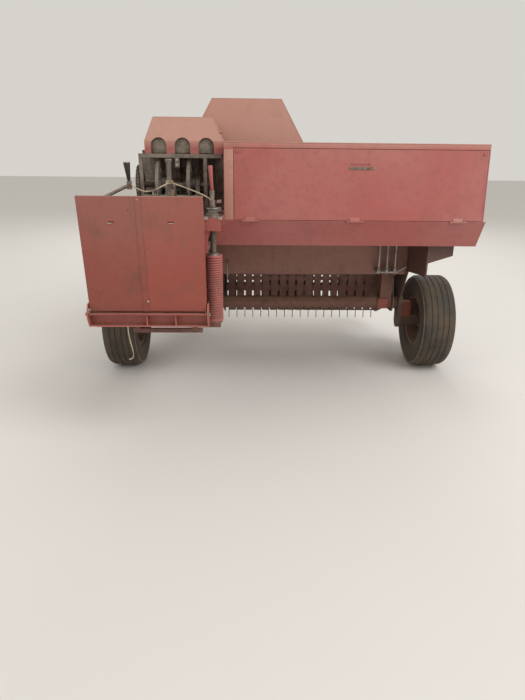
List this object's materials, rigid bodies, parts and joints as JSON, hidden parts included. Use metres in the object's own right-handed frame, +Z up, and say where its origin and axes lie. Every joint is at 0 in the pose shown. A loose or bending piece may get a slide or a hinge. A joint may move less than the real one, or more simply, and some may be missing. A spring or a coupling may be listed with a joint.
{
  "type": "square baler",
  "caption": "Towed square baler with side pick-up, bale chamber, twine box, knotters, flywheel, folding bale chute and swinging drawbar on its jack.",
  "frame": {"origin": "on the ground under the middle of the machine's bounding box", "axes": "+X to the right, +Y forward along the bale chamber towards the drawbar, +Z up"},
  "size_m": [2.75, 5.5212, 2.059],
  "materials": {
    "red_paint": "faded satin",
    "dark_red_paint": "dull",
    "bare_steel": "dull, oiled",
    "gearbox_iron": "dull",
    "tyre_rubber": "matt",
    "guard_plastic": "matt",
    "twine": "matt"
  },
  "bodies": {
    "frame": {"chamber_floor": "red_paint", "chamber_left_wall": "red_paint", "chamber_right_wall": "red_paint", "chamber_roof": "red_paint", "tension_flap": "red_paint", "tension_springs": "red_paint", "tension_cranks": "bare_steel", "spring_anchors": "dark_red_paint", "chute_sill": "dark_red_paint", "plunger_cover": "red_paint", "axle_beam": "dark_red_paint", "left_knuckle": "dark_red_paint", "right_knuckle": "dark_red_paint", "feed_floor": "red_paint", "feed_back_wall": "red_paint", "feed_side_plate": "red_paint", "feed_roof": "red_paint", "feeder_forks": "bare_steel", "feeder_gear": "bare_steel", "feeder_cover": "red_paint", "twine_box": "red_paint", "knotter_shaft": "bare_steel", "knotter_frames": "bare_steel", "hood_frame": "dark_red_paint", "needle_yoke": "bare_steel", "meter_bracket": "bare_steel", "front_frame": "dark_red_paint", "gearbox": "gearbox_iron", "flywheel_guard": "red_paint", "knotter_drive": "red_paint", "lift_rods": "bare_steel", "tie_rope": "twine", "twine_tail": "twine"},
    "left_wheel": {"left_tyre": "tyre_rubber", "left_rim": "dark_red_paint"},
    "right_wheel": {"right_tyre": "tyre_rubber", "right_rim": "dark_red_paint"},
    "chute": {"bale_chute": "red_paint"},
    "door": {"twine_door": "red_paint"},
    "hood": {"knotter_hood": "red_paint"},
    "meter": {"meter_wheel": "bare_steel"},
    "flywheel": {"flywheel": "dark_red_paint"},
    "tongue": {"drawbar": "dark_red_paint", "driveline": "guard_plastic", "jack_tube": "dark_red_paint"},
    "jack": {"jack_leg": "bare_steel"},
    "pickup": {"pickup_sides": "red_paint", "pickup_bands": "red_paint", "pickup_drive_cover": "red_paint", "gauge_arm": "dark_red_paint"},
    "reel": {"pickup_reel": "bare_steel"},
    "gauge": {"gauge_wheel": "tyre_rubber"},
    "guard": {"windguard": "dark_red_paint"}
  },
  "joints": [
    {"name": "left_wheel_spin", "type": "hinge", "parent": "frame", "child": "left_wheel", "pos_m": [-1.243, -1.2645, 0.375], "axis": [1, 0, 0], "continuous": true},
    {"name": "right_wheel_spin", "type": "hinge", "parent": "frame", "child": "right_wheel", "pos_m": [1.243, -1.2645, 0.375], "axis": [1, 0, 0], "continuous": true},
    {"name": "chute_fold", "type": "hinge", "parent": "frame", "child": "chute", "pos_m": [-0.755, -2.7215, 0.84], "axis": [1, 0, 0], "range_deg": [0, 85]},
    {"name": "door_drop", "type": "hinge", "parent": "frame", "child": "door", "pos_m": [0.433, -2.0735, 1.268], "axis": [1, 0, 0], "range_deg": [0, 100]},
    {"name": "hood_lift", "type": "hinge", "parent": "frame", "child": "hood", "pos_m": [-0.953, -1.4745, 1.677], "axis": [0, -1, 0], "range_deg": [0, 80]},
    {"name": "meter_turn", "type": "hinge", "parent": "frame", "child": "meter", "pos_m": [-0.835, -2.0645, 1.322], "axis": [1, 0, 0], "continuous": true},
    {"name": "flywheel_turn", "type": "hinge", "parent": "frame", "child": "flywheel", "pos_m": [-0.755, 0.8755, 1.03], "axis": [0, 1, 0], "continuous": true},
    {"name": "drawbar_swing", "type": "hinge", "parent": "frame", "child": "tongue", "pos_m": [-0.755, 1.1855, 0.49], "axis": [0, 0, 1], "range_deg": [0, 25]},
    {"name": "jack_slide", "type": "slide", "parent": "tongue", "child": "jack", "axis": [0, 0, 1], "range_m": [0, 0.24]},
    {"name": "pickup_lift", "type": "hinge", "parent": "frame", "child": "pickup", "pos_m": [0.245, -1.2645, 0.53], "axis": [1, 0, 0], "range_deg": [-20.5, 0]},
    {"name": "reel_turn", "type": "hinge", "parent": "pickup", "child": "reel", "pos_m": [0.245, -0.7145, 0.53], "axis": [1, 0, 0], "continuous": true},
    {"name": "gauge_spin", "type": "hinge", "parent": "pickup", "child": "gauge", "pos_m": [1.09, -0.46591, 0.48255], "axis": [1, 0, 0], "continuous": true},
    {"name": "guard_lift", "type": "hinge", "parent": "frame", "child": "guard", "pos_m": [0.245, -0.8585, 1.23], "axis": [1, 0, 0], "range_deg": [0, 60]}
  ]
}
